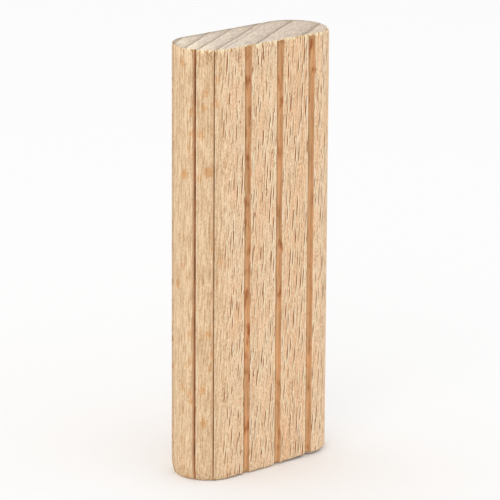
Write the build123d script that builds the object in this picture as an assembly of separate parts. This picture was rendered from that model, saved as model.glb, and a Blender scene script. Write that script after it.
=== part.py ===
from build123d import *
import math
import os

os.makedirs("parts", exist_ok=True)

# A loose tenon: a strip of beech moulded with round edges and glue grooves, then cut to length.
# It stands on one end. X runs across its width, Y through its thickness, Z along the grain.
# The origin is the middle of the lower end.

# The moulded strip, mm
LENGTH = 50.0
WIDTH = 21.0
THICKNESS = 8.0
END_EASING = 0.4

# The glue grooves of each broad face, whose pattern stands off the middle of the face along X
FACE_GROOVE_COUNT = 3
FACE_GROOVE_PITCH = 4.8
FACE_GROOVE_WIDTH = 0.95
FACE_GROOVE_DEPTH = 0.5
FACE_GROOVE_OFFSET = 0.8

# The fine glue grooves of each rounded edge, cut straight in along X
# Their places are shares of the edge's radius, on both sides of the middle of the thickness
EDGE_GROOVE_DEPTH = 0.5
INNER_EDGE_GROOVE_WIDTH = 0.4
INNER_EDGE_GROOVE_RADIUS_SHARE = 0.45
OUTER_EDGE_GROOVE_WIDTH = 0.15
OUTER_EDGE_GROOVE_RADIUS_SHARE = 0.85

# How far a groove's cutter reaches past the outside of the strip
OVERRUN = 1.0

edge_radius = THICKNESS / 2
edge_centre_x = WIDTH / 2 - edge_radius
cutter_length = LENGTH + 2 * OVERRUN


def moulded_strip():
    """The strip cut to length: a slot outline pulled up along Z, with the rim of both ends eased."""
    outline = SlotOverall(WIDTH, THICKNESS)
    strip = extrude(outline, amount=LENGTH)
    ends = strip.faces().filter_by(Axis.Z)
    return fillet(ends.edges(), radius=END_EASING)


def face_groove_cutters():
    """One bar for each groove of the two broad faces, sunk to the grooves' depth."""
    bar_height = FACE_GROOVE_DEPTH + OVERRUN
    bar_middle_y = THICKNESS / 2 - FACE_GROOVE_DEPTH + bar_height / 2
    bar = Box(FACE_GROOVE_WIDTH, bar_height, cutter_length)
    first_x = FACE_GROOVE_OFFSET - FACE_GROOVE_PITCH * (FACE_GROOVE_COUNT - 1) / 2
    cutters = []
    for face_side in (-1, 1):
        for number in range(FACE_GROOVE_COUNT):
            groove_x = first_x + number * FACE_GROOVE_PITCH
            cutters.append(Pos(groove_x, face_side * bar_middle_y, LENGTH / 2) * bar)
    return cutters


def edge_groove_cutters(groove_width, radius_share):
    """Four bars for one groove on each side of the middle of the thickness, in both rounded edges."""
    groove_y = radius_share * edge_radius
    surface_x = edge_centre_x + math.sqrt(edge_radius**2 - groove_y**2)
    floor_x = surface_x - EDGE_GROOVE_DEPTH
    bar_reach = WIDTH / 2 + OVERRUN - floor_x
    bar = Box(bar_reach, groove_width, cutter_length)
    cutters = []
    for edge_side in (-1, 1):
        for half in (-1, 1):
            bar_middle_x = edge_side * (floor_x + bar_reach / 2)
            cutters.append(Pos(bar_middle_x, half * groove_y, LENGTH / 2) * bar)
    return cutters


cutters = face_groove_cutters()
cutters += edge_groove_cutters(INNER_EDGE_GROOVE_WIDTH, INNER_EDGE_GROOVE_RADIUS_SHARE)
cutters += edge_groove_cutters(OUTER_EDGE_GROOVE_WIDTH, OUTER_EDGE_GROOVE_RADIUS_SHARE)

loose_tenon = moulded_strip() - cutters
export_step(loose_tenon, "parts/loose_tenon.step")
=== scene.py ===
import bpy
import numpy as np
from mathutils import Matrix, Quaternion, Vector


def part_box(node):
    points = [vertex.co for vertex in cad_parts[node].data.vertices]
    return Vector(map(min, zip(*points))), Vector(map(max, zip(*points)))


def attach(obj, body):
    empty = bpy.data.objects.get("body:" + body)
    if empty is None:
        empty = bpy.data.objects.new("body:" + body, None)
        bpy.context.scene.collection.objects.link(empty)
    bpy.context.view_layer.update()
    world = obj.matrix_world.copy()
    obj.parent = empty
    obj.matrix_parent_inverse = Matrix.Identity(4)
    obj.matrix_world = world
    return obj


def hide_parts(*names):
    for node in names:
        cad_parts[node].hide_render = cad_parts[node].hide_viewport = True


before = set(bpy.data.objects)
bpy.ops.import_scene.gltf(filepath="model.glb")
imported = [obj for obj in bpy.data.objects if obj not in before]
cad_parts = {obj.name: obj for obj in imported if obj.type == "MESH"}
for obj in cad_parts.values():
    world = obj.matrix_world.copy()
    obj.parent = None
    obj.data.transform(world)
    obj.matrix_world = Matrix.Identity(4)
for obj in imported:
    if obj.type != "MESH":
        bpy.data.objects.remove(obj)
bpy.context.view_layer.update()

# The tenon: a strip of bare beech, moulded with round edges and glue grooves and then sawn to length.
# One closed surface takes the plain solid's place. It has the same form and sizes, with the small
# tears that the cutters leave along the groove lips and the saw leaves round the end rims.
MM = 0.001
low, high = (np.array(corner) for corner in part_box("loose_tenon"))
width, thickness, length = high - low
round_radius = thickness / 2
flat_half = width / 2 - round_radius
flat_length = 2 * flat_half
half_outline = flat_length + np.pi * round_radius

# The grooves of each broad face, whose pattern stands off its middle, and the fine ones of each edge
FACE_GROOVE_STEPS = np.array([-1, 0, 1])
FACE_GROOVE_PITCH = 4.8 * MM
FACE_GROOVE_WIDTH = 0.95 * MM
FACE_GROOVE_DEPTH = 0.5 * MM
FACE_GROOVE_OFFSET = 0.8 * MM
EDGE_GROOVE_DEPTH = 0.5 * MM
EDGE_GROOVE_WIDTHS = np.array([0.4, 0.15]) * MM
EDGE_GROOVE_RADIUS_SHARES = np.array([0.45, 0.85])

# Where the surface is sampled: up to a groove's lip, over its floor, along the strip and over its ends
STATION_GAP = 0.2 * MM
ROW_GAP = 0.3 * MM
LIP_STEPS = np.array([0.16, 0.08, 0.025, 0.0]) * MM
LIP_DROPS = np.array([0.0, 0.0, 0.003, 0.012]) * MM
LIP_PULL_SHARES = np.array([0.2, 0.7, 1.0, 1.0])
FLOOR_SHARES = np.array([0.0, 0.03, 0.25, 0.5, 0.75, 0.97, 1.0])
FLOOR_DEPTH_SHARES = np.array([0.08, 0.96, 1.0, 1.0, 1.0, 0.96, 0.08])
END_STEPS = np.array([0.0, 0.03, 0.07, 0.12, 0.18, 0.26, 0.36, 0.5, 0.7, 0.95, 1.25, 1.6]) * MM
CAP_SHARES = np.array([0.985, 0.96, 0.92, 0.85, 0.7, 0.5, 0.25, 0.0])

# The torn lips: how many chips, the deepest one's reach, the tallest one's half height, and the waver
FIRST_LIP_TEARS = (6, 0.12 * MM, 1.0 * MM, 0.012 * MM)
SECOND_LIP_TEARS = (16, 0.15 * MM, 1.2 * MM, 0.02 * MM)
SHORTEST_CHIP_SHARE = 0.25
LIP_WAVER_STEP = 2 * ROW_GAP
TEAR_SEED = 11

# How far the grooves flare towards the upper end, where the strip came off the cutters
FLARE = 0.08 * MM
FLARE_FADE = 5.0 * MM

tears = np.random.default_rng(TEAR_SEED)


def round_the_section(distance):
    """Point and outward normal at a distance round the strip's section, and whether it is flat there.

    The section is a slot outline, walked from the left end of the front flat: a flat, half a circle,
    and the same again turned by 180 degrees.
    """
    half = np.floor_divide(distance, half_outline)
    along = distance - half * half_outline
    turn = np.maximum(along - flat_length, 0) / round_radius
    side = 1 - 2 * np.mod(half, 2)
    normal = np.stack([side * np.sin(turn), -side * np.cos(turn)], axis=-1)
    middle = np.stack([side * (np.minimum(along, flat_length) - flat_half), 0 * side], axis=-1)
    return middle + round_radius * normal, normal, along < flat_length


def groove_table():
    """Start and end of each groove round the section, its floor's place, and whether it is in a flat.

    A face groove's floor is measured from the middle along Y and an edge groove's along X, the ways
    that they are cut. An edge groove's lips lie where the circle passes its two sides.
    """
    face_x = FACE_GROOVE_OFFSET + FACE_GROOVE_PITCH * FACE_GROOVE_STEPS
    face_middle = np.concatenate([flat_half + face_x, half_outline + flat_half - face_x])
    face_floor = np.full(face_middle.shape, thickness / 2 - FACE_GROOVE_DEPTH)
    edge_y = np.concatenate([-EDGE_GROOVE_RADIUS_SHARES, EDGE_GROOVE_RADIUS_SHARES]) * round_radius
    edge_half = np.tile(EDGE_GROOVE_WIDTHS, 2) / 2
    edge_floor = flat_half + np.sqrt(round_radius**2 - edge_y**2) - EDGE_GROOVE_DEPTH
    first_lip = flat_length + round_radius * np.arccos((edge_half - edge_y) / round_radius)
    second_lip = flat_length + round_radius * np.arccos((-edge_half - edge_y) / round_radius)
    starts = np.concatenate([face_middle - FACE_GROOVE_WIDTH / 2, first_lip, first_lip + half_outline])
    ends = np.concatenate([face_middle + FACE_GROOVE_WIDTH / 2, second_lip, second_lip + half_outline])
    floors = np.concatenate([face_floor, edge_floor, edge_floor])
    in_flat = np.arange(len(starts)) < len(face_middle)
    order = np.argsort(starts)
    return starts[order], ends[order], floors[order], in_flat[order]


def section_stations(starts, ends):
    """Where the section is sampled: close steps at each groove's lips and floor, even steps between.

    Gives each station's distance, groove number, share of the groove's depth, lip drop, and the shares
    in which it follows the tears of the groove's first and second lip.
    """
    beside = np.zeros(len(LIP_STEPS))
    sunk = np.concatenate([beside, FLOOR_DEPTH_SHARES, beside])
    drop = np.concatenate([LIP_DROPS, 0 * FLOOR_SHARES, LIP_DROPS[::-1]])
    first_pull = np.concatenate([LIP_PULL_SHARES, 1 - FLOOR_SHARES, beside])
    second_pull = np.concatenate([beside, FLOOR_SHARES, LIP_PULL_SHARES[::-1]])
    next_starts = np.append(starts[1:], starts[0] + 2 * half_outline)
    columns = []
    for groove, (start, end, next_start) in enumerate(zip(starts, ends, next_starts)):
        across = start + FLOOR_SHARES * (end - start)
        at = np.concatenate([start - LIP_STEPS, across, end + LIP_STEPS[::-1]])
        columns.append(np.stack([at, np.full(at.shape, groove), sunk, drop, first_pull, second_pull]))
        land_from = end + LIP_STEPS[0]
        land_to = next_start - LIP_STEPS[0]
        count = int(np.round((land_to - land_from) / STATION_GAP))
        land = np.linspace(land_from, land_to, count + 1)[1:-1]
        even = np.zeros(len(land))
        columns.append(np.stack([land, np.full(land.shape, groove), even, even, even, even]))
    return np.concatenate(columns, axis=1)


def lip_tears(heights, lips, chips, reach, tallest, unevenness):
    """How far each lip is torn back at each height: a fine waver, and chips shaped like half ellipses.

    A chip's depth is the reach times the square of an even chance, so most chips are shallow.
    """
    knots = np.arange(0, length + LIP_WAVER_STEP, LIP_WAVER_STEP)
    offsets = tears.normal(0, unevenness, (lips, len(knots)))
    waver = np.stack([np.interp(heights, knots, row) for row in offsets])
    middle = tears.uniform(0, length, (lips, chips, 1))
    half_height = tears.uniform(SHORTEST_CHIP_SHARE, 1, (lips, chips, 1)) * tallest
    depth = reach * tears.uniform(0, 1, (lips, chips, 1)) ** 2
    chip = depth * np.sqrt(np.clip(1 - ((heights - middle) / half_height) ** 2, 0, None))
    return waver + chip.max(axis=1)


def round_noise(count, step, distance):
    """Even noise from 0 to 1 round the section, the same again after one turn, with knots a step apart."""
    knots = int(2 * half_outline / step)
    values = tears.uniform(0, 1, (count, knots))
    values = np.concatenate([values, values[:, :1]], axis=1)
    places = np.linspace(0, 2 * half_outline, knots + 1)
    return np.stack([np.interp(np.mod(distance, 2 * half_outline), places, row) for row in values])


starts, ends, floors, in_flat = groove_table()
station, groove, sunk, lip_drop, first_pull, second_pull = section_stations(starts, ends)
groove = groove.astype(int)
middle_rows = np.arange(END_STEPS[-1] + ROW_GAP, length - END_STEPS[-1] - ROW_GAP / 2, ROW_GAP)
heights = np.concatenate([END_STEPS, middle_rows, length - END_STEPS[::-1]])

first_tear = lip_tears(heights, len(starts), *FIRST_LIP_TEARS) * in_flat[:, None]
second_tear = lip_tears(heights, len(starts), *SECOND_LIP_TEARS) * in_flat[:, None]
flare = FLARE * np.exp(-(length - heights) / FLARE_FADE) * in_flat[:, None]
first_tear = first_tear + flare
second_tear = second_tear + flare
walk = station - first_tear[groove].T * first_pull + second_tear[groove].T * second_pull
surface, normal, _ = round_the_section(walk)
true_surface, true_normal, on_flat = round_the_section(station)

cut = np.where(on_flat[:, None], true_normal, np.sign(true_normal) * [1, 0])
depth = sunk * ((surface * cut).sum(axis=-1) - floors[groove])
cosine = (cut * normal).sum(axis=-1)

# The end rims: each is drawn in by a reach over a height, the flats least and the lower left edge most
LOWER_LEFT_EASE = np.array([0.4, 1.8]) * MM
LOWER_RIGHT_EASE = np.array([0.25, 0.8]) * MM
LOWER_FLAT_EASE = np.array([0.08, 0.36]) * MM
UPPER_LEFT_EASE = np.array([0.08, 0.2]) * MM
UPPER_RIGHT_EASE = np.array([0.35, 0.6]) * MM
UPPER_FLAT_EASE = np.array([0.02, 0.06]) * MM
EASE_POWER = 1.5

# The saw broke out at the front: it frayed the rims there, and the lower one is worn towards the right
FRONT_FROM_SLANT = 0.5
FRONT_TO_SLANT = -0.2
LOWER_FRAY = 0.2 * MM
UPPER_FRAY = 0.14 * MM
SPLINTER_STEP = 0.2 * MM
EDGE_FRAY_SHARE = 0.2
FRAY_HEIGHT = 0.5 * MM
LOWER_WEAR = 0.33 * MM
WORN_FROM = -0.5 * MM
WORN_TO = 5.0 * MM

# It pushed splinters into the tops of the grooves: how far down they reach, furthest at the sides
FRONT_CHOKES = np.array([0.3, 0.3, 0.55]) * MM
BACK_CHOKE = 0.2 * MM
EDGE_CHOKE = 0.12 * MM
CHOKE_RISE = 0.08 * MM
CHOKE_SHARE = 0.85
ARCH_SHARE = 0.4


def eased_rim(away, flat_ease, left_ease, right_ease):
    """How far a rim is drawn in at a way from its end: a reach that falls to nothing over a height.

    The reach and the height pass from those of the flats to those of an edge as the surface turns to it.
    """
    left = np.clip(-true_normal[:, :1], 0, 1)
    right = np.clip(true_normal[:, :1], 0, 1)
    reach, height = (flat_ease + left * (left_ease - flat_ease) + right * (right_ease - flat_ease)).T
    return reach * np.clip(1 - away / height, 0, 1) ** EASE_POWER


from_below = heights[:, None]
from_above = length - heights[:, None]
front = np.clip((FRONT_FROM_SLANT - true_normal[:, 1]) / (FRONT_FROM_SLANT - FRONT_TO_SLANT), 0, 1)
frayed_share = front * (1 - (1 - EDGE_FRAY_SHARE) * np.abs(true_normal[:, 0]))
lower_splinters, upper_splinters = frayed_share * round_noise(2, SPLINTER_STEP, station) ** 2
worn_share = np.clip((true_surface[:, 0] - WORN_FROM) / (WORN_TO - WORN_FROM), 0, 1)
lower_fray = LOWER_FRAY * lower_splinters + LOWER_WEAR * worn_share * front
upper_fray = UPPER_FRAY * upper_splinters

choke = np.where(in_flat, BACK_CHOKE, EDGE_CHOKE)
choke[:len(FRONT_CHOKES)] = FRONT_CHOKES
arch = choke[groove] * (1 - ARCH_SHARE + ARCH_SHARE * (first_pull - second_pull) ** 2)
choked = CHOKE_SHARE * np.clip((arch - from_above) / CHOKE_RISE, 0, 1)
depth = depth * (1 - choked)

ease = eased_rim(from_below, LOWER_FLAT_EASE, LOWER_LEFT_EASE, LOWER_RIGHT_EASE)
ease = ease + eased_rim(from_above, UPPER_FLAT_EASE, UPPER_LEFT_EASE, UPPER_RIGHT_EASE)
inset = np.maximum(ease - depth * cosine, 0) + lip_drop
walls = surface - cut * depth[..., None] - normal * inset[..., None]
wall_z = heights[:, None] + lower_fray * np.clip(1 - from_below / FRAY_HEIGHT, 0, 1)
wall_z = wall_z - upper_fray * np.clip(1 - from_above / FRAY_HEIGHT, 0, 1)

# The ends: each ring of an end is its rim drawn towards the middle line of the section
FRAY_FADE_POWER = 12
middle_line = np.stack([np.clip(true_surface[:, 0], -flat_half, flat_half), 0 * station], axis=-1)
shares = CAP_SHARES[:, None, None]
lower_cap = middle_line + shares[::-1] * (walls[0] - middle_line)
upper_cap = middle_line + shares * (walls[-1] - middle_line)
lower_z = lower_fray * CAP_SHARES[::-1, None] ** FRAY_FADE_POWER
upper_z = length - upper_fray * CAP_SHARES[:, None] ** FRAY_FADE_POWER

across = np.concatenate([lower_cap, walls, upper_cap])
up = np.concatenate([lower_z, wall_z, upper_z])
points = np.concatenate([across, up[..., None]], axis=-1)
rows, columns = up.shape

# The triangles: two to each cell of the grid, with the points that meet on a middle line made one
# Groove walls are shaded flat, so that their lips stay sharp.
MEETING_DIGITS = 4
STEEP_SHARE = 0.04
number = np.arange(rows * columns).reshape(rows, columns)
meeting_x = np.round(middle_line[:, 0] / MM, MEETING_DIGITS)
_, first, twin = np.unique(meeting_x, return_index=True, return_inverse=True)
for end_row in (0, -1):
    number[end_row] = number[end_row][first[twin]]
corner = number[:-1]
beside = np.roll(number, -1, axis=1)[:-1]
above = number[1:]
across_above = np.roll(number, -1, axis=1)[1:]
triangles = np.concatenate([
    np.stack([corner, beside, across_above], axis=-1).reshape(-1, 3),
    np.stack([corner, across_above, above], axis=-1).reshape(-1, 3),
])
steep = np.abs(np.roll(sunk, -1) - sunk) > STEEP_SHARE
steep = np.tile(steep, 2 * (rows - 1))
whole = (triangles != np.roll(triangles, 1, axis=1)).all(axis=1)
used, triangles = np.unique(triangles[whole], return_inverse=True)
triangles = triangles.reshape(-1, 3)

# Marks for the finish: the grooves' floors, painted shade in their corners under the first lips, the fine
# grooves, painted highlights along the lips, and the ends and rims
CORNER_SHARE = 0.25
FIRST_LIP_HIGHLIGHT = 1.6
SECOND_LIP_HIGHLIGHT = 0.75
EDGE_LIP_HIGHLIGHT = 0.7
FAR_WALL_HIGHLIGHT = 3.0
FAR_WALL_HIGHLIGHT_DEPTH = 0.5
DEEP_FROM_SLANT = 0.65
OUTER_SLIT_SHARE = 1.5
BURR_FADE = 0.9 * MM
END_BURR_FADE = 0.18 * MM
DARK_RIM_FADE = 0.12 * MM
END_DARK_RIM_FADE = 0.38 * MM
ROLL_HEIGHT = 0.5 * MM
ROLL_EDGE = 0.15 * MM
in_face = in_flat[groove]
sunken = (sunk > 0) & in_face
# Painted shade: the floor of each face groove darkens into its corner under the first lip
lip_shade_mark = sunken * np.clip((first_pull - CORNER_SHARE) / CORNER_SHARE, 0, 1)
# Painted highlights along the groove lips, where their torn fibres catch the light
face_lip_highlight = np.maximum(FIRST_LIP_HIGHLIGHT * first_pull, SECOND_LIP_HIGHLIGHT * second_pull)
lip_highlight_mark = np.where(in_face, face_lip_highlight, EDGE_LIP_HIGHLIGHT * second_pull) * (sunk == 0)
# The fine grooves at the back of the left edge get a painted highlight on the upper part of their first
# wall, against the shade in them
far_left = ~in_face & (true_normal[:, 0] < 0) & (true_normal[:, 1] > 0)
lip_highlight_mark = np.where(far_left & (sunk < FAR_WALL_HIGHLIGHT_DEPTH), FAR_WALL_HIGHLIGHT * first_pull, lip_highlight_mark)
# The fine grooves are painted dark deep inside: the cutter's browning with painted shade added, more in
# those next to the broad faces
slit_mark = sunk * np.where(far_left, second_pull > CORNER_SHARE / 2, ~in_face)
slit_mark = slit_mark * np.where(np.abs(true_normal[:, 1]) > DEEP_FROM_SLANT, OUTER_SLIT_SHARE, 1)
inward = (1 - CAP_SHARES[:, None]) * round_radius
on_walls = np.ones((len(heights), columns))
on_ends = np.ones((len(CAP_SHARES), columns))
rolled = np.clip((ROLL_HEIGHT * np.clip(true_normal[:, 0], 0, 1) - from_above) / ROLL_EDGE, 0, 1)
no_mark = 0 * on_ends
marks = {
    "groove": np.concatenate([no_mark, sunken * (1 - choked), no_mark]),
    "corner": np.concatenate([no_mark, lip_shade_mark * (1 - choked), no_mark]),
    "slit": np.concatenate([no_mark, slit_mark * (1 - choked), no_mark]),
    "lip": np.concatenate([no_mark, lip_highlight_mark * on_walls, no_mark]),
    "end_grain": np.concatenate([on_ends, rolled * on_walls, on_ends]),
    "burr": np.concatenate([no_mark, front * np.exp(-from_above / BURR_FADE),
                            front * np.exp(-inward / END_BURR_FADE)]),
    "grime": np.concatenate([no_mark, front * np.exp(-from_below / DARK_RIM_FADE),
                             (1 - front) * np.exp(-inward / END_DARK_RIM_FADE)]),
}

mesh = bpy.data.meshes.new("beech_tenon")
mesh.vertices.add(len(used))
mesh.vertices.foreach_set("co", points.reshape(-1, 3)[used].ravel())
mesh.loops.add(triangles.size)
mesh.loops.foreach_set("vertex_index", triangles.ravel())
mesh.polygons.add(len(triangles))
mesh.polygons.foreach_set("loop_start", np.arange(0, triangles.size, 3))
mesh.polygons.foreach_set("use_smooth", ~steep[whole])
mesh.update(calc_edges=True)
for name, values in marks.items():
    mesh.attributes.new(name, "FLOAT", "POINT").data.foreach_set("value", values.ravel()[used])

tenon = bpy.data.objects.new("beech_tenon", mesh)
bpy.context.collection.objects.link(tenon)
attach(tenon, "root")
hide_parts("loose_tenon")


# The tenon's finish: bare beech with no coat on it. Its broad faces show the rays end on, as short dark
# flecks, and its rounded edges show them lengthwise, as orange patches. The groove floors are browned
# by the cutter, and the sawn ends are greyer, with the growth rings crossing them at a slant.
class Grain:
    """A socket of a material or a room. Operators on it add Math nodes, and node() adds any other."""

    def __init__(self, tree, socket=None):
        self.tree = tree
        self.socket = socket

    def node(self, kind, settings, inputs, output=0):
        """Adds a node, with its settings first and then the values or links of its sockets."""
        made = self.tree.nodes.new(kind)
        for name, value in settings.items():
            if name == "stops":
                ramp = made.color_ramp
                for place, _ in value[1:-1]:
                    ramp.elements.new(place)
                for stop, (place, level) in zip(ramp.elements, value):
                    stop.position = place
                    stop.color = (level, level, level, 1)
            else:
                setattr(made, name, value)
        for name, value in inputs.items():
            if isinstance(value, Grain):
                self.tree.links.new(value.socket, made.inputs[name])
            else:
                made.inputs[name].default_value = value
        return Grain(self.tree, made.outputs[output] if made.outputs else None)

    def math(self, operation, first, second=0.0):
        return self.node("ShaderNodeMath", {"operation": operation}, {0: first, 1: second})

    def __add__(self, other):
        return self.math("ADD", self, other)

    def __radd__(self, other):
        return self.math("ADD", other, self)

    def __sub__(self, other):
        return self.math("SUBTRACT", self, other)

    def __rsub__(self, other):
        return self.math("SUBTRACT", other, self)

    def __mul__(self, other):
        return self.math("MULTIPLY", self, other)

    def __rmul__(self, other):
        return self.math("MULTIPLY", other, self)

    def __truediv__(self, other):
        return self.math("DIVIDE", self, other)

    def __rtruediv__(self, other):
        return self.math("DIVIDE", other, self)

    def __abs__(self):
        return self.math("ABSOLUTE", self)

    def step(self, start, end):
        """0 below start, 1 above end and smooth between them."""
        inputs = {"Value": self, "From Min": start, "From Max": end}
        return self.node("ShaderNodeMapRange", {"interpolation_type": "SMOOTHSTEP"}, inputs)

    def between(self, first, second):
        """The first colour where this is 0, the second where it is 1, and a mix of them between."""
        return self.node("ShaderNodeMix", {"data_type": "RGBA"}, {0: self, 6: first, 7: second}, 2)

    def lit(self, level):
        """This colour made lighter or darker by a level about 1."""
        return self.node("ShaderNodeVectorMath", {"operation": "SCALE"}, {0: self, "Scale": level})


def tint(red, green, blue):
    """A colour as it shows on a screen, 0 to 255, as the linear values that a shader takes."""
    screen = np.array([red, green, blue]) / 255
    linear = np.where(screen > 0.04045, ((screen + 0.055) / 1.055) ** 2.4, screen / 12.92)
    return (*linear.tolist(), 1.0)


LIGHT_WOOD = tint(255, 223, 186)
BLUSH_WOOD = tint(255, 213, 172)
EDGE_WOOD = tint(250, 220, 181)
DARK_WOOD = tint(181, 135, 88)
FLECK_BROWN = tint(144, 62, 0)
FLECK_SHADE = tint(216, 148, 62)
FLECK_HIGHLIGHT = tint(255, 244, 212)
RAY_ORANGE = tint(238, 170, 108)
GROOVE_BROWN = tint(233, 190, 142)
GROOVE_RED = tint(182, 116, 68)
LIP_SHADE_BROWN = tint(186, 130, 84)
SLIT_WALL = tint(236, 192, 146)
SLIT_DEEP = tint(206, 150, 104)
SLIT_DARK = tint(160, 104, 64)
LIP_HIGHLIGHT_CREAM = tint(255, 240, 208)
BURR_CREAM = tint(255, 238, 198)
BURR_GAP_SHADOW = tint(198, 142, 86)
END_PALE = tint(220, 201, 183)
END_WARM = tint(228, 213, 194)
END_LATE = tint(200, 182, 163)
END_LINE = tint(150, 130, 108)
END_TIP = tint(248, 232, 208)
RIM_GREY = tint(122, 102, 82)

beech = bpy.data.materials.new("bare_beech")
beech.use_nodes = True
beech.node_tree.nodes.clear()
wood = Grain(beech.node_tree)

# The finish is worked out in millimetres of the tenon's own frame
place = wood.node("ShaderNodeTexCoord", {}, {}, "Object")
place = wood.node("ShaderNodeVectorMath", {"operation": "SCALE"}, {0: place, "Scale": 1 / MM})
x, y, z = (wood.node("ShaderNodeSeparateXYZ", {}, {0: place}, axis) for axis in "XYZ")
on_strip = (x, y, z)
NOISE_MIDDLE = 0.5


def in_waves(places, waves):
    """Three places as one vector, each times its own number of waves to the millimetre."""
    parts = {axis: part * wave for axis, part, wave in zip("XYZ", places, waves)}
    return wood.node("ShaderNodeCombineXYZ", {}, parts)


def noise(places, waves, detail=2.0, roughness=0.5):
    """Even noise between 0 and 1, about their middle."""
    inputs = {"Vector": in_waves(places, waves), "Scale": 1.0, "Detail": detail, "Roughness": roughness}
    return wood.node("ShaderNodeTexNoise", {}, inputs, "Fac")


def swing(places, waves, detail=2.0, roughness=0.5):
    """The same noise about 0."""
    return noise(places, waves, detail, roughness) - NOISE_MIDDLE


# The growth rings cross the section at a slant to the broad faces, and the rays run out through them
# The grain leans: the further down the tenon, the further its lines have moved to the left of its front.
RING_SLANT = np.radians(30)
LEAN = 0.045
LEAN_GAIN = 0.0004
WAVER_WAVES = (0.25, 0.25, 0.06)
OUTWARD_WAVER = 0.5
SIDEWAYS_WAVER = 0.3
slant_sine = float(np.sin(RING_SLANT))
slant_cosine = float(np.cos(RING_SLANT))
drop = length / MM - z
leaning_x = x + LEAN * drop + LEAN_GAIN * drop * drop
waver = swing(on_strip, WAVER_WAVES, detail=1.0)
outward = leaning_x * slant_sine - y * slant_cosine + OUTWARD_WAVER * waver
sideways = leaning_x * slant_cosine + y * slant_sine + SIDEWAYS_WAVER * waver
on_grain = (leaning_x, y, z)
on_rays = (sideways, outward, z)

# Each growth ring runs from 0, its early wood, to 1, its late wood, and ends at a sharp border
RING_BORDERS = (-8.0, -6.6, -4.6, -2.9, -0.9, -0.3, 2.2, 5.75, 8.0)
RING_EDGE_SHARE = 0.003
RING_WAVER = 0.35
ring_span = RING_BORDERS[-1] - RING_BORDERS[0]
ring_shares = [(border - RING_BORDERS[0]) / ring_span for border in RING_BORDERS]
ring_stops = []
for inner, outer in zip(ring_shares[:-1], ring_shares[1:]):
    ring_stops += [(inner, 0.0), (outer - RING_EDGE_SHARE, 1.0)]
across_rings = x * slant_sine - y * slant_cosine
along_rings = x * slant_cosine + y * slant_sine
ring_place = (across_rings + RING_WAVER * waver - RING_BORDERS[0]) / ring_span
ring = wood.node("ShaderNodeValToRGB", {"stops": ring_stops}, {"Fac": ring_place})

# The rays: a cell's width and height, and the half width and half height of the spindle in it
BOLD_CELL = (0.5, 2.2)
BOLD_HALF_SIZE = (0.054, 1.15)
BOLD_SHIFT = 0.0
FINE_CELL = (0.34, 1.7)
FINE_HALF_SIZE = (0.036, 0.8)
FINE_SHIFT = 17.3
RAY_RUN = 9.0
LEAST_HEIGHT_SHARE = 0.55
ADDED_HEIGHT_SHARE = 0.9
LEAST_WIDTH_SHARE = 0.7
ADDED_WIDTH_SHARE = 0.6
RAY_STRENGTH = (0.3, 0.8)
RAY_MIDDLE = (-0.01, 0.01)
RAY_EDGE = (-0.01, 0.02)
SHADE_EDGE = (-0.12, 0.0)
SHADE_RIGHT_LOSS_SHARE = 0.7
# The pale rims beside each fleck are painted highlights, mostly on its right
HIGHLIGHT_OUTSIDE = (-0.13, -0.06)
HIGHLIGHT_INSIDE = (-0.02, 0.0)
HIGHLIGHT_LEFT_SHARE = 0.3


def rays(cell, half_size, shift):
    """Spindles as the rays show them end on, one in each cell, with the cells running on along the rays.

    A spindle's half width falls off as the square of the way to its tips, and chance sets its size.
    Gives the spindles, the brown shade about them, painted mostly on their left as shadow, and their
    painted highlights, mostly on their right.
    """
    wide, tall = cell
    half_width, half_height = half_size
    parts = {"X": sideways / wide + shift, "Y": outward / RAY_RUN + shift, "Z": z / tall}
    cells = wood.node("ShaderNodeCombineXYZ", {}, parts)
    inputs = {"Vector": cells, "Scale": 1.0, "Randomness": 1.0}
    nearest = wood.node("ShaderNodeTexVoronoi", {}, inputs, "Position")
    chance = wood.node("ShaderNodeTexVoronoi", {}, inputs, "Color")
    size, strength = (wood.node("ShaderNodeSeparateColor", {}, {0: chance}, part) for part in range(2))
    off = wood.node("ShaderNodeVectorMath", {"operation": "SUBTRACT"}, {0: cells, 1: nearest})
    off_x, off_z = (wood.node("ShaderNodeSeparateXYZ", {}, {0: off}, axis) for axis in "XZ")
    reach = off_z * tall / (half_height * (LEAST_HEIGHT_SHARE + ADDED_HEIGHT_SHARE * size))
    own_half_width = half_width * (LEAST_WIDTH_SHARE + ADDED_WIDTH_SHARE * size)
    room = own_half_width * (1 - reach * reach) - abs(off_x) * wide
    boldness = strength.step(*RAY_STRENGTH)
    to_right = off_x.step(*RAY_MIDDLE)
    spindle = room.step(*RAY_EDGE) * boldness
    shade = room.step(*SHADE_EDGE) * (1 - SHADE_RIGHT_LOSS_SHARE * to_right) * boldness
    highlight = room.step(*HIGHLIGHT_OUTSIDE) * (1 - room.step(*HIGHLIGHT_INSIDE))
    highlight = highlight * (HIGHLIGHT_LEFT_SHARE + (1 - HIGHLIGHT_LEFT_SHARE) * to_right) * boldness
    return spindle, shade, highlight


bold_rays, bold_shades, bold_highlights = rays(BOLD_CELL, BOLD_HALF_SIZE, BOLD_SHIFT)
fine_rays, fine_shades, fine_highlights = rays(FINE_CELL, FINE_HALF_SIZE, FINE_SHIFT)

# The rays show end on where the surface faces along them, short of the left edge
END_ON_FACING = (0.35, 0.75)
END_ON_FROM = (-9.2, -6.0)
facing = wood.node("ShaderNodeNewGeometry", {}, {}, "Normal")
facing_x, facing_y = (wood.node("ShaderNodeSeparateXYZ", {}, {0: facing}, axis) for axis in "XY")
along_ray = abs(facing_x * slant_sine - facing_y * slant_cosine)
end_on = along_ray.step(*END_ON_FACING) * x.step(*END_ON_FROM)

in_groove, in_lip_shade, in_slit, on_lip_highlight, on_end, on_burr, in_dark_rim = (
    wood.node("ShaderNodeAttribute", {"attribute_name": name}, {}, "Fac") for name in marks)

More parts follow.
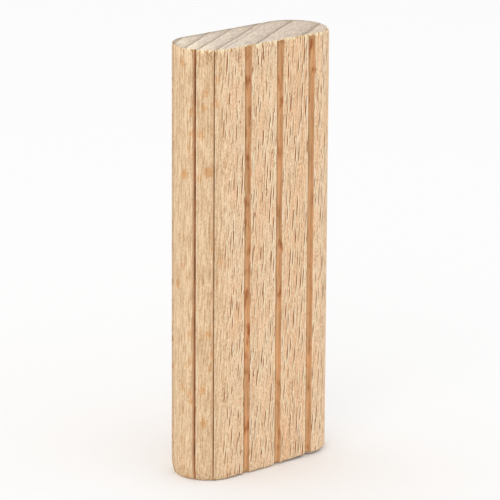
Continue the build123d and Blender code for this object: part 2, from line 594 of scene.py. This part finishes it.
# The wood's uneven colour, from broad patches to grit, and its burns and ragged fibres
PATCH_WAVES = (0.7, 0.5, 0.14)
FIBRE_WAVES = (2.4, 2.4, 0.2)
SPECKLE_WAVES = (5.5, 5.5, 0.4)
GRIT_WAVES = (8.0, 8.0, 3.0)
BURN_WAVES = (1.1, 1.1, 0.45)
SHRED_WAVES = (5.0, 5.0, 1.6)
FRINGE_WAVES = (3.6, 3.6, 0.6)
patches = noise(on_rays, PATCH_WAVES)
fibres = swing(on_grain, FIBRE_WAVES, detail=1.0)
speckle = swing(on_grain, SPECKLE_WAVES, roughness=0.6)
grit = swing(on_grain, GRIT_WAVES, detail=1.0)
burn = noise(on_strip, BURN_WAVES)
shreds = noise(on_strip, SHRED_WAVES, roughness=0.6)
fringe = noise(on_strip, FRINGE_WAVES, roughness=0.6)

# Orange ray patches for the rounded edges, with ragged borders
SPOT_WAVES = (0.7, 0.7, 0.5)
SPOT_SPECKLE = 0.5
SPOT_GRIT = 0.3
SPOT_EDGE = (0.1, 0.46)
SPOT_STRENGTH = (0.1, 0.8)
spot_cells = {"Vector": in_waves(on_rays, SPOT_WAVES), "Scale": 1.0, "Randomness": 1.0}
from_spot = wood.node("ShaderNodeTexVoronoi", {}, spot_cells, "Distance")
from_spot = from_spot + SPOT_SPECKLE * speckle + SPOT_GRIT * grit
spot_chance = wood.node("ShaderNodeTexVoronoi", {}, spot_cells, "Color")
spot_chance = wood.node("ShaderNodeSeparateColor", {}, {0: spot_chance}, 0)
spots = (1 - from_spot.step(*SPOT_EDGE)) * spot_chance.step(*SPOT_STRENGTH)

# The moulded wood: blushed in patches, most between the second and third groove, and spotted at the edges
WARM_FROM = (0.8, 2.0)
WARM_TO = (4.4, 6.0)
WARM_SHARE = 0.14
BLUSH_EDGE = (0.42, 0.7)
SPOT_SHARE = 0.75
warm = x.step(*WARM_FROM) * (1 - x.step(*WARM_TO))
light = (patches + WARM_SHARE * warm).step(*BLUSH_EDGE).between(LIGHT_WOOD, BLUSH_WOOD)
light = end_on.between(EDGE_WOOD, light)
light = (SPOT_SHARE * spots * (1 - end_on)).between(light, RAY_ORANGE)

# Its level between dark and light wood: lower in late wood and on the edges, with streaks along the grain
WOOD_LEVEL = 0.765
LATE_LOSS = 0.08
EDGE_LOSS = 0.065
RIGHT_FROM = (5.8, 7.5)
RIGHT_GAIN = 0.06
LEFT_FROM = (-10.4, -9.4)
LEFT_TO = (-8.6, -7.0)
LEFT_LOSS = 0.07
FIBRE_STREAKS = 0.25
SPECKLE_STREAKS = 1.7
SPECKLE_FACE_LOSS = 0.2
GRIT_STREAKS = 0.9
GRIT_FACE_GAIN = 0.9
level = WOOD_LEVEL - LATE_LOSS * ring * ring - EDGE_LOSS * (1 - end_on)
level = level + RIGHT_GAIN * x.step(*RIGHT_FROM)
level = level - LEFT_LOSS * x.step(*LEFT_FROM) * (1 - x.step(*LEFT_TO))
streaks = FIBRE_STREAKS * fibres
streaks = streaks + (SPECKLE_STREAKS - SPECKLE_FACE_LOSS * end_on) * speckle
streaks = streaks + (GRIT_STREAKS + GRIT_FACE_GAIN * end_on) * grit
level = level + (1 + on_burr) * streaks
side = level.between(DARK_WOOD, light)

# The flecks, each with its brown shade, painted darker on its left as shadow, and a painted highlight on
# its right
BOLD_SHADE_SHARE = 0.5
FINE_SHADE_SHARE = 0.25
BOLD_HIGHLIGHT_SHARE = 0.95
FINE_HIGHLIGHT_SHARE = 0.45
FINE_RAY_SHARE = 0.65
shades = BOLD_SHADE_SHARE * bold_shades + FINE_SHADE_SHARE * fine_shades
highlights = BOLD_HIGHLIGHT_SHARE * bold_highlights + FINE_HIGHLIGHT_SHARE * fine_highlights
side = (end_on * shades).between(side, FLECK_SHADE)
side = (end_on * highlights).between(side, FLECK_HIGHLIGHT)
side = (FINE_RAY_SHARE * fine_rays * end_on).between(side, FLECK_BROWN)
side = (bold_rays * end_on).between(side, FLECK_BROWN)

# The grooves: floors browned in patches, most in the left one, with painted shade in the corner under the
# first lip and painted highlights along the torn lips
LEFT_BURN_SHARE = 0.05
LEFT_BURN_TO = (-3.2, 0.0)
BURN_EDGE = (0.52, 0.76)
LIP_SHADE_SHARE = 0.7
FLOOR_FIBRES = 0.7
FLOOR_SPECKLE = 0.5
SLIT_WALL_EDGE = (0.0, 0.2)
SLIT_WALL_SHARE = 0.5
SLIT_BURN_EDGE = (0.4, 0.65)
SLIT_FLOOR_EDGE = (0.35, 0.7)
SHRED_EDGE = (0.35, 0.6)
LIP_HIGHLIGHT_SHARE = 0.8
floor_burn = burn + LEFT_BURN_SHARE * (1 - x.step(*LEFT_BURN_TO))
groove_floor = floor_burn.step(*BURN_EDGE).between(GROOVE_BROWN, GROOVE_RED)
groove_floor = (LIP_SHADE_SHARE * in_lip_shade).between(groove_floor, LIP_SHADE_BROWN)
groove_floor = groove_floor.lit(1 + FLOOR_FIBRES * fibres + FLOOR_SPECKLE * speckle)
side = in_groove.between(side, groove_floor)
side = (SLIT_WALL_SHARE * in_slit.step(*SLIT_WALL_EDGE)).between(side, SLIT_WALL)
# Deep in the fine grooves the cutter's brown is darkened as painted shade, darkest in patches
slit_floor = burn.step(*SLIT_BURN_EDGE).between(SLIT_DEEP, SLIT_DARK)
side = in_slit.step(*SLIT_FLOOR_EDGE).between(side, slit_floor)
# Painted highlight: the lips turn cream, broken up by the shreds
side = (on_lip_highlight * shreds.step(*SHRED_EDGE) * LIP_HIGHLIGHT_SHARE).between(side, LIP_HIGHLIGHT_CREAM)

# The sawn ends: paler towards the left tip, with the rings' late wood and lines, pores and saw marks
PORE_WAVES = (4.0, 0.6, 1.0)
SAW_WAVES = (5.0, 2.5, 1.0)
END_WARM_TO = (-9.0, 6.0)
END_TIP_TO = (-9.0, -6.5)
RING_LINE = (0.8, 0.98)
RING_LINE_SHARE = 0.65
END_PORES = 1.2
END_SAW_MARKS = 0.8
pores = swing((across_rings, along_rings, z), PORE_WAVES, detail=3.0, roughness=0.65)
saw_marks = swing(on_strip, SAW_WAVES, roughness=0.6)
end = x.step(*END_WARM_TO).between(END_WARM, END_PALE)
end = x.step(*END_TIP_TO).between(END_TIP, end)
end = (ring * ring).between(end, END_LATE)
end = (ring.step(*RING_LINE) * RING_LINE_SHARE).between(end, END_LINE)
end = end.lit(1 + END_PORES * pores + END_SAW_MARKS * saw_marks)
colour = on_end.between(side, end)

# The rims: greyer along the lower front and at the back of the upper end, and a cream burr at the upper
# front with painted shadow between its fibres
DARK_RIM_SHARE = 0.6
DARK_RIM_EDGE = (0.4, 0.6)
GAP_SHADOW_FRINGE = 2.0
GAP_SHADOW_EDGE = (-0.1, 0.25)
CREAM_BURR = 0.7
CREAM_FRINGE = 1.6
CREAM_EDGE = (1.35, 1.55)
# Greyer along the lower front rim and towards the back rim of the upper end
grime = in_dark_rim * (DARK_RIM_SHARE + (1 - DARK_RIM_SHARE) * fringe.step(*DARK_RIM_EDGE))
colour = grime.between(colour, RIM_GREY)
# Painted shadow in the gaps between the burr's fibres
colour = (on_burr - GAP_SHADOW_FRINGE * fringe).step(*GAP_SHADOW_EDGE).between(colour, BURR_GAP_SHADOW)
colour = (CREAM_BURR * on_burr + CREAM_FRINGE * fringe).step(*CREAM_EDGE).between(colour, BURR_CREAM)

# The surface: matt, with raised fibres and sunken rays
FIBRE_RELIEF = 0.05
SPECKLE_RELIEF = 0.03
BOLD_RAY_RELIEF = 0.05
FINE_RAY_RELIEF = 0.025
RELIEF_STRENGTH = 0.4
ROUGHNESS = 0.65
FIBRE_ROUGHNESS = 0.3
GLOSS = 0.15
sunken_rays = BOLD_RAY_RELIEF * bold_rays + FINE_RAY_RELIEF * fine_rays
relief = FIBRE_RELIEF * fibres + SPECKLE_RELIEF * speckle - sunken_rays * end_on
bump = wood.node("ShaderNodeBump", {}, {"Strength": RELIEF_STRENGTH, "Distance": MM, "Height": relief})
shader = wood.node("ShaderNodeBsdfPrincipled", {}, {
    "Base Color": colour,
    "Roughness": ROUGHNESS + FIBRE_ROUGHNESS * fibres,
    "Normal": bump,
    "Specular IOR Level": GLOSS,
})
wood.node("ShaderNodeOutputMaterial", {}, {"Surface": shader})
mesh.materials.append(beech)

# The studio: a plain floor of white paper that takes the tenon's soft shadow, in a white room
# A lamp's broad soft box stands at the front left, aimed at the middle of the tenon.
FLOOR_HALF = 3.0
floor_mesh = bpy.data.meshes.new("studio_floor")
floor_corners = [(-FLOOR_HALF, -FLOOR_HALF, 0), (FLOOR_HALF, -FLOOR_HALF, 0),
                 (FLOOR_HALF, FLOOR_HALF, 0), (-FLOOR_HALF, FLOOR_HALF, 0)]
floor_mesh.from_pydata(floor_corners, [], [(0, 1, 2, 3)])
studio_floor = bpy.data.objects.new("studio_floor", floor_mesh)
bpy.context.collection.objects.link(studio_floor)


def seen_directly(nodes):
    """1 for what the camera sees, straight or in a gloss or a clear thing, and 0 for light that bounces."""
    straight, glossy, clear = (
        nodes.node("ShaderNodeLightPath", {}, {}, ray)
        for ray in ("Is Camera Ray", "Is Glossy Ray", "Is Transmission Ray"))
    return nodes.math("MAXIMUM", nodes.math("MAXIMUM", straight, glossy), clear)


PAPER_BOUNCE = 0.85
PAPER_GREY = (PAPER_BOUNCE, PAPER_BOUNCE, PAPER_BOUNCE, 1)
WHITE = (1, 1, 1, 1)
white_paper = bpy.data.materials.new("white_paper")
white_paper.use_nodes = True
white_paper.node_tree.nodes.clear()
paper = Grain(white_paper.node_tree)
paper_colour = seen_directly(paper).between(PAPER_GREY, WHITE)
sheet = paper.node("ShaderNodeBsdfDiffuse", {}, {"Color": paper_colour})
paper.node("ShaderNodeOutputMaterial", {}, {"Surface": sheet})
floor_mesh.materials.append(white_paper)

ROOM_LIGHT = 0.94
world = bpy.data.worlds.new("studio_room")
bpy.context.scene.world = world
world.use_nodes = True
world.node_tree.nodes.clear()
room = Grain(world.node_tree)
room_level = ROOM_LIGHT + (1 - ROOM_LIGHT) * seen_directly(room)
room_walls = room.node("ShaderNodeBackground", {}, {"Color": WHITE, "Strength": room_level})
room.node("ShaderNodeOutputWorld", {}, {"Surface": room_walls})

LAMP_SIZE = 0.5
LAMP_POWER = 0.7
LAMP_PLACE = (-0.55, -0.35, 0.55)
AIM_DROP = 0.04 * MM
aim = Vector((0, 0, length / 2 - AIM_DROP))
lamp_data = bpy.data.lights.new("soft_box", "AREA")
lamp_data.shape = "SQUARE"
lamp_data.size = LAMP_SIZE
lamp_data.energy = LAMP_POWER
lamp = bpy.data.objects.new("soft_box", lamp_data)
bpy.context.collection.objects.link(lamp)
lamp.location = LAMP_PLACE
lamp.rotation_euler = (aim - lamp.location).to_track_quat("-Z", "Y").to_euler()

# The camera: far off with a long lens, from the front left and a little above
# The lens's focal length is measured in pixels of the picture.
CAMERA_AZIMUTH = np.radians(-42.12)
CAMERA_ELEVATION = np.radians(15.37)
CAMERA_ROLL = np.radians(0.34)
CAMERA_DISTANCE = 0.4228
PICTURE_WIDTH = 500
FOCAL_PIXELS = 3715
SENSOR_WIDTH = 36
CLIP_START = 0.01
camera_data = bpy.data.cameras.new("camera")
camera_data.sensor_width = SENSOR_WIDTH
camera_data.lens = SENSOR_WIDTH * FOCAL_PIXELS / PICTURE_WIDTH
camera_data.clip_start = CLIP_START
camera = bpy.data.objects.new("camera", camera_data)
bpy.context.collection.objects.link(camera)
level_share = np.cos(CAMERA_ELEVATION)
back_x = np.sin(CAMERA_AZIMUTH) * level_share
back_y = -np.cos(CAMERA_AZIMUTH) * level_share
back = Vector((back_x, back_y, np.sin(CAMERA_ELEVATION)))
camera.location = aim + CAMERA_DISTANCE * back
camera.rotation_mode = "QUATERNION"
camera.rotation_quaternion = back.to_track_quat("Z", "Y") @ Quaternion((0, 0, 1), CAMERA_ROLL)
bpy.context.scene.camera = camera

bpy.context.scene.view_settings.view_transform = "Standard"
